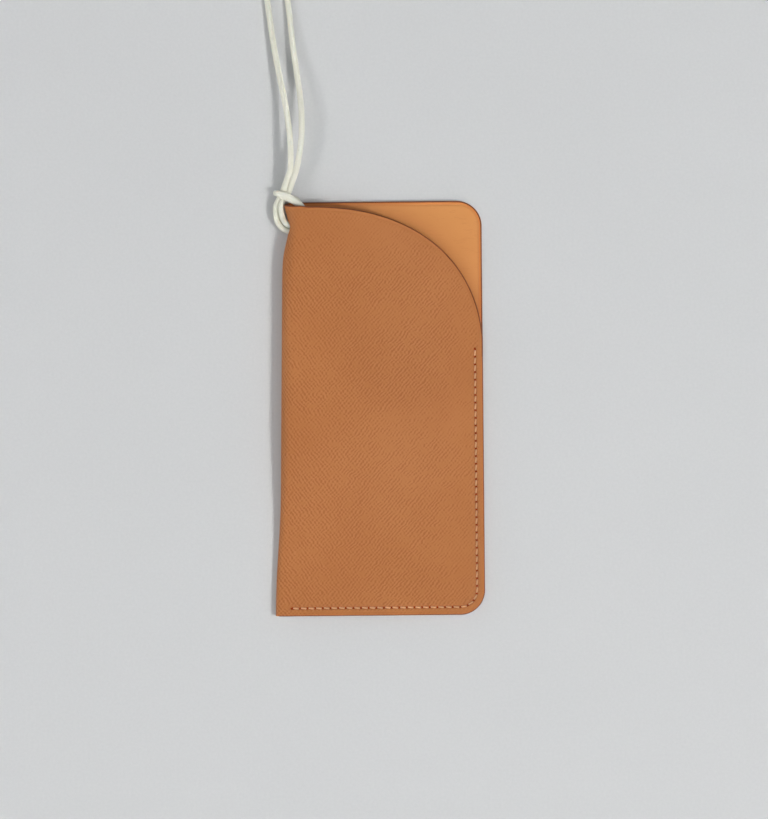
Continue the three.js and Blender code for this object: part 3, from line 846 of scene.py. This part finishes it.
def sheet_attributes(piece, burnish):
    """What the leather materials read: place on the flat sheet, worn edge, pressed lines, the
    sewn line, and painted shade that darkens the lining towards the mouth's curve."""
    mesh = piece.data
    co = np.empty(3 * len(mesh.vertices), np.float32)
    mesh.vertices.foreach_get("co", co)
    co = co.reshape(-1, 3) / MM
    x, y, z = co[:, 0].astype(float), co[:, 1].astype(float), co[:, 2].astype(float)
    across = np.array([sheet_place(*p) for p in zip(x, y, z)])
    place = mesh.attributes.new("sheet_place", "FLOAT_VECTOR", "POINT")
    place.data.foreach_set("vector", np.stack([across, y, 0 * y], 1).ravel() * MM)
    middle = np.where(x > FOLD_SIDE, STACK, np.array([fold_height(v) for v in y])) / 2
    on_front = z > middle
    edge = edge_distance(x, y, on_front)
    at_fold = x < FOLD_SIDE
    wear = np.where(at_fold & (edge > 3), 0.0, np.clip((burnish - edge) / 0.35, 0, 1))
    crease = np.where(at_fold, 0.0, np.exp(-((edge - CREASE_INSET) / 0.4) ** 2))
    sewn = np.exp(-(seam_distance(x, y) / 0.6) ** 2)
    margin = np.where(at_fold, 0.0, np.clip(1.6 - edge, 0, 1)) * 0.6
    pressed = np.clip(np.maximum.reduce([crease, sewn, margin]), 0, 1)
    # painted shade mask: 1 under the front panel, fading over 8 mm out from the mouth's curve
    painted_mouth_shade = np.exp(np.minimum(mouth_distance(x, y), 0) / 8)
    for name, values in (("edge_wear", wear), ("pressed", pressed), ("sewn", sewn),
                         ("painted_mouth_shade", painted_mouth_shade)):
        attribute = mesh.attributes.new(name, "FLOAT", "POINT")
        attribute.data.foreach_set("value", values.astype(np.float32))


# ---- the seam --------------------------------------------------------------

SEAM_RADIUS = CORNER - STITCH_INSET
SEAM_CORNER = (RIGHT - CORNER, -TOP + CORNER)
SEAM_SIDE = SEAM_TOP - SEAM_CORNER[1]
SEAM_ARC = math.pi / 2 * SEAM_RADIUS
SEAM_LENGTH = SEAM_SIDE + SEAM_ARC + SEAM_CORNER[0] - SEAM_LEFT
THREAD_SLANT = math.radians(9)


def seam_hole(i):
    """A stitch hole's x, y and the direction of the seam there."""
    distance = SEAM_LENGTH * i / STITCHES
    turn = min(math.pi / 2, max(0.0, (distance - SEAM_SIDE) / SEAM_RADIUS))
    before = max(0.0, SEAM_SIDE - distance)
    after = max(0.0, distance - SEAM_SIDE - SEAM_ARC)
    return (SEAM_CORNER[0] + SEAM_RADIUS * math.cos(turn) - after,
            SEAM_CORNER[1] - SEAM_RADIUS * math.sin(turn) + before,
            -math.pi / 2 - turn)


HOLES = [seam_hole(i) for i in range(STITCHES + 1)]


PIT_OUTLINE = [(0.76, 0.0), (0.5, 0.32), (0.0, 0.44), (-0.5, 0.32), (-0.76, 0.0),
               (-0.5, -0.32), (0.0, -0.44), (0.5, -0.32)]
PIT_LEVELS = [(-0.4, 1.25), (0.1, 1.0), (0.8, 0.7)]


def awl_pits():
    """The mouths of the stitch holes, drawn open by the thread, on the front and the back.
    PIT_LEVELS gives each level's depth under the face and its size."""
    vertices, faces = [], []
    n = len(PIT_OUTLINE)
    for x, y, heading in HOLES:
        angle = heading + THREAD_SLANT
        c, s = math.cos(angle), math.sin(angle)
        for face, inward in ((STACK, -1), (0.0, 1)):
            offset = len(vertices)
            for depth, grow in PIT_LEVELS:
                for u, v in PIT_OUTLINE:
                    vertices.append((x + grow * (u * c - v * s), y + grow * (u * s + v * c),
                                     face + inward * depth))
            for level in range(2):
                for k in range(n):
                    a, b = offset + level * n + k, offset + level * n + (k + 1) % n
                    side = (a, b, b + n, a + n)
                    faces.append(side if inward > 0 else side[::-1])
            mouth = tuple(range(offset, offset + n))[::-1]
            floor = tuple(range(offset + 2 * n, offset + 3 * n))
            faces += [end if inward > 0 else end[::-1] for end in (mouth, floor)]
    return new_piece("awl_pits", vertices, faces, PIT)


def hole_cutter():
    """A bar through the fold where the cord goes."""
    sides = 32
    vertices, faces = [], []
    for x in (-46.0, -30.0):
        for k in range(sides):
            angle = 2 * math.pi * k / sides
            vertices.append((x, HOLE_Y + HOLE_RADIUS * math.cos(angle),
                             HOLE_Z + HOLE_RADIUS * math.sin(angle)))
    for k in range(sides):
        a, b = k, (k + 1) % sides
        faces.append((a, b, b + sides, a + sides))
    faces.append(tuple(reversed(range(sides))))
    faces.append(tuple(range(sides, 2 * sides)))
    return new_piece("hole_cutter", vertices, faces, EDGE)


def cut(piece, cutter):
    modifier = piece.modifiers.new("cut", "BOOLEAN")
    modifier.operation = "DIFFERENCE"
    modifier.solver = "EXACT"
    modifier.material_mode = "TRANSFER"
    modifier.object = cutter
    bpy.context.view_layer.objects.active = piece
    bpy.ops.object.modifier_apply(modifier=modifier.name)


def make_sheet(name, outside, inside, material, node, cutters, burnish):
    vertices, faces = sheet_mesh(outside, inside)
    piece = new_piece(name, vertices, faces, material, smooth_angle=0)
    for cutter in cutters:
        cut(piece, cutter)
    piece.data.shade_smooth()
    piece.data.set_sharp_from_angle(angle=math.radians(38))
    sheet_attributes(piece, burnish)
    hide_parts(node)
    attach(piece, "case")
    return piece


pit_cutter = awl_pits()
cord_cutter = hole_cutter()
outer = make_sheet("outer_leather_shell", 0.0, LEATHER, GRAINED, "outer_leather",
                   [pit_cutter, cord_cutter], burnish=0.8)
lining = make_sheet("lining_shell", LEATHER + BOND, SHEET, SMOOTH,
                    "lining_leather", [cord_cutter], burnish=1.3)
for cutter in (pit_cutter, cord_cutter):
    bpy.data.objects.remove(cutter)


THREAD_RADIUS = 0.29
HOLE_SHIFT = 0.68
FRONT_LEVEL, BACK_LEVEL = STACK + 0.02, 0.27
STITCH_DIPS = [(0.0, 0.95), (0.01, 0.42), (0.12, 0.05), (0.3, -0.02), (0.5, -0.04), (0.7, -0.02),
               (0.88, 0.05), (0.99, 0.42), (1.0, 0.95)]


def needle_course(on_front_at_start):
    """One needle's half of the saddle stitch: over, down a hole, under, up the next.
    STITCH_DIPS gives how deep the thread lies along a stitch."""
    points = []

    def at(hole, offset, z):
        angle = hole[2] + THREAD_SLANT
        return (hole[0] + offset * math.cos(angle), hole[1] + offset * math.sin(angle), z)

    for i in range(STITCHES):
        on_front = (i % 2 == 0) == on_front_at_start
        sign, offset = (1, HOLE_SHIFT) if on_front else (-1, -HOLE_SHIFT)
        level = FRONT_LEVEL if on_front else BACK_LEVEL
        a, b = np.array(at(HOLES[i], offset, level)), np.array(at(HOLES[i + 1], -offset, level))
        for share, drop in STITCH_DIPS:
            point = a + (b - a) * share
            limit = drop if sign > 0 else max(0.0, drop)
            point[2] -= sign * limit
            points.append(point)
    return points


def make_thread():
    first, second = needle_course(True), needle_course(False)
    path, _ = smooth_route(first[::-1] + second, 0.22)
    vertices, faces = sweep(path, THREAD_RADIUS, 8, ply=2, twist=1.9, depth=0.16, squash=0.4)
    piece = new_piece("thread", vertices, faces, THREAD, smooth_angle=0)
    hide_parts("seam_thread")
    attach(piece, "case")
    return piece


thread = make_thread()

# ---- painted edges ---------------------------------------------------------

PAINT_PROUD = 1.03
PAINT_LAP = 0.06
SEAM_EDGE_INSET = 0.25
OPEN_EDGE_FROM = 20
OPEN_EDGE_STEP = 0.2


def band(name, rim_top, rim_bottom, bulge):
    """A rounded coat of edge paint over a rim given by its upper and lower lines."""
    half = (rim_top - rim_bottom) / 2
    middle = (rim_top + rim_bottom) / 2
    outward = np.cross(half, np.gradient(middle, axis=0))
    outward /= np.linalg.norm(outward, axis=1)[:, None]
    profile = [(PAINT_PROUD * math.cos(math.pi * k / 8), bulge * math.sin(math.pi * k / 8) ** 0.7)
               for k in range(9)]
    profile += [(-PAINT_PROUD, -PAINT_LAP), (-0.85, -0.3), (0.85, -0.3), (PAINT_PROUD, -PAINT_LAP)]
    count, rim = len(middle), len(profile)
    vertices = np.stack([middle + half * c + outward * out for c, out in profile], 1)
    faces = []
    for i in range(count - 1):
        for k in range(rim):
            a, b = i * rim + k, i * rim + (k + 1) % rim
            faces.append((a, a + rim, b + rim, b))
    faces.append(tuple(range(rim)))
    faces.append(tuple(reversed(range((count - 1) * rim, count * rim))))
    piece = new_piece(name, vertices.reshape(-1, 3), faces, EDGE, smooth_angle=50)
    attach(piece, "case")
    return piece


def make_seam_edge():
    """Front and back panels are sanded and painted as one edge along the seam."""
    inset = SEAM_EDGE_INSET
    points = [(-41.5, -TOP + inset), (-20, -TOP + inset), (0, -TOP + inset), (20, -TOP + inset)]
    radius = CORNER - inset
    points += [(RIGHT - CORNER + radius * math.sin(a), -TOP + CORNER - radius * math.cos(a))
               for a in np.linspace(0, math.pi / 2, 32)]
    points += [(RIGHT - inset, y) for y in np.linspace(-70, MOUTH["y"], 20)]
    rim_top = np.array([(x, y, STACK - 0.04) for x, y in points])
    rim_bottom = np.array([(x, y, 0.08) for x, y in points])
    return band("edge_paint_seam", rim_top, rim_bottom, inset + 0.17)


def make_open_edge():
    """The free edges: across the back panel's top and along the mouth, round the fold."""
    top, bottom = sheet_surface(0.0, True), sheet_surface(SHEET, False)
    rows, columns = top.shape[:2]
    start = next(r for r in range(rows) if top[r, 0, 1] > OPEN_EDGE_FROM)
    border = ([(r, 0) for r in range(start, rows)]
              + [(rows - 1, c) for c in range(1, columns)]
              + [(r, columns - 1) for r in range(rows - 2, start - 1, -1)])
    rim_top = np.array([top[r, c] for r, c in border])
    rim_bottom = np.array([bottom[r, c] for r, c in border])
    keep = [0]
    for i in range(1, len(border)):
        if np.linalg.norm(rim_top[i] - rim_top[keep[-1]]) > OPEN_EDGE_STEP:
            keep.append(i)
    return band("edge_paint_open", rim_top[keep], rim_bottom[keep], EDGE_BULGE + 0.1)


CASE_PIECES = [outer, lining, thread, make_seam_edge(), make_open_edge()]

# ---- the node that stays as CAD made it ------------------------------------


patch_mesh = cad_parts["hole_reinforcement"].data
patch_mesh.materials.clear()
patch_mesh.materials.append(woven_patch())

# ---- stage and light -------------------------------------------------------


FLOOR_HALF, FLOOR_DROP = 4.0, 0.0001
LAMP_COLOUR = (1.0, 0.985, 0.96)
SKY_COLOUR, SKY_STRENGTH = (0.9, 0.95, 1.0, 1.0), 0.42


def make_floor():
    mesh = bpy.data.meshes.new("floor")
    corners = [(-1, -1), (1, -1), (1, 1), (-1, 1)]
    mesh.from_pydata([(x * FLOOR_HALF, y * FLOOR_HALF, 0) for x, y in corners], [],
                     [(0, 1, 2, 3)])
    floor = bpy.data.objects.new("floor", mesh)
    scene.collection.objects.link(floor)
    floor.location.z = -FLOOR_DROP
    mesh.materials.append(tabletop())
    return floor


def group(name, pieces):
    collection = bpy.data.collections.new(name)
    for piece in pieces:
        collection.objects.link(piece)
    return collection


def area_light(name, place, size, energy, receivers=(), blockers=()):
    """A soft box aimed at the case. receivers and blockers limit what it lights and shades."""
    data = bpy.data.lights.new(name, "AREA")
    data.size = size
    data.energy = energy
    data.color = LAMP_COLOUR
    light = bpy.data.objects.new(name, data)
    scene.collection.objects.link(light)
    light.location = place
    light.rotation_euler = (-light.location.normalized()).to_track_quat("-Z", "Y").to_euler()
    if receivers:
        light.light_linking.receiver_collection = group(name + "_receivers", receivers)
    if blockers:
        light.light_linking.blocker_collection = group(name + "_blockers", blockers)


def make_light(floor):
    """A lamp and a broad soft box from the right, and two limited lamps from the left: one casts
    the second shadow of the cords on the floor, the other fills the object."""
    world = bpy.data.worlds.new("studio")
    scene.world = world
    world.use_nodes = True
    background = world.node_tree.nodes["Background"]
    background.inputs["Color"].default_value = SKY_COLOUR
    background.inputs["Strength"].default_value = SKY_STRENGTH
    cords = [hitch, left_cord, right_cord, knot, tie]
    area_light("right", (1.892, -0.932, 2.664), 0.5, 29.0)
    area_light("broad", (1.6, -2.1, 2.3), 2.8, 18.0)
    area_light("left", (-2.356, -1.262, 2.102), 0.9, 33.0, receivers=[floor], blockers=cords)
    area_light("left_soft", (-2.9, -0.4, 1.7), 3.2, 45.0, receivers=CASE_PIECES + cords)
    scene.view_settings.view_transform = "Standard"


make_light(make_floor())
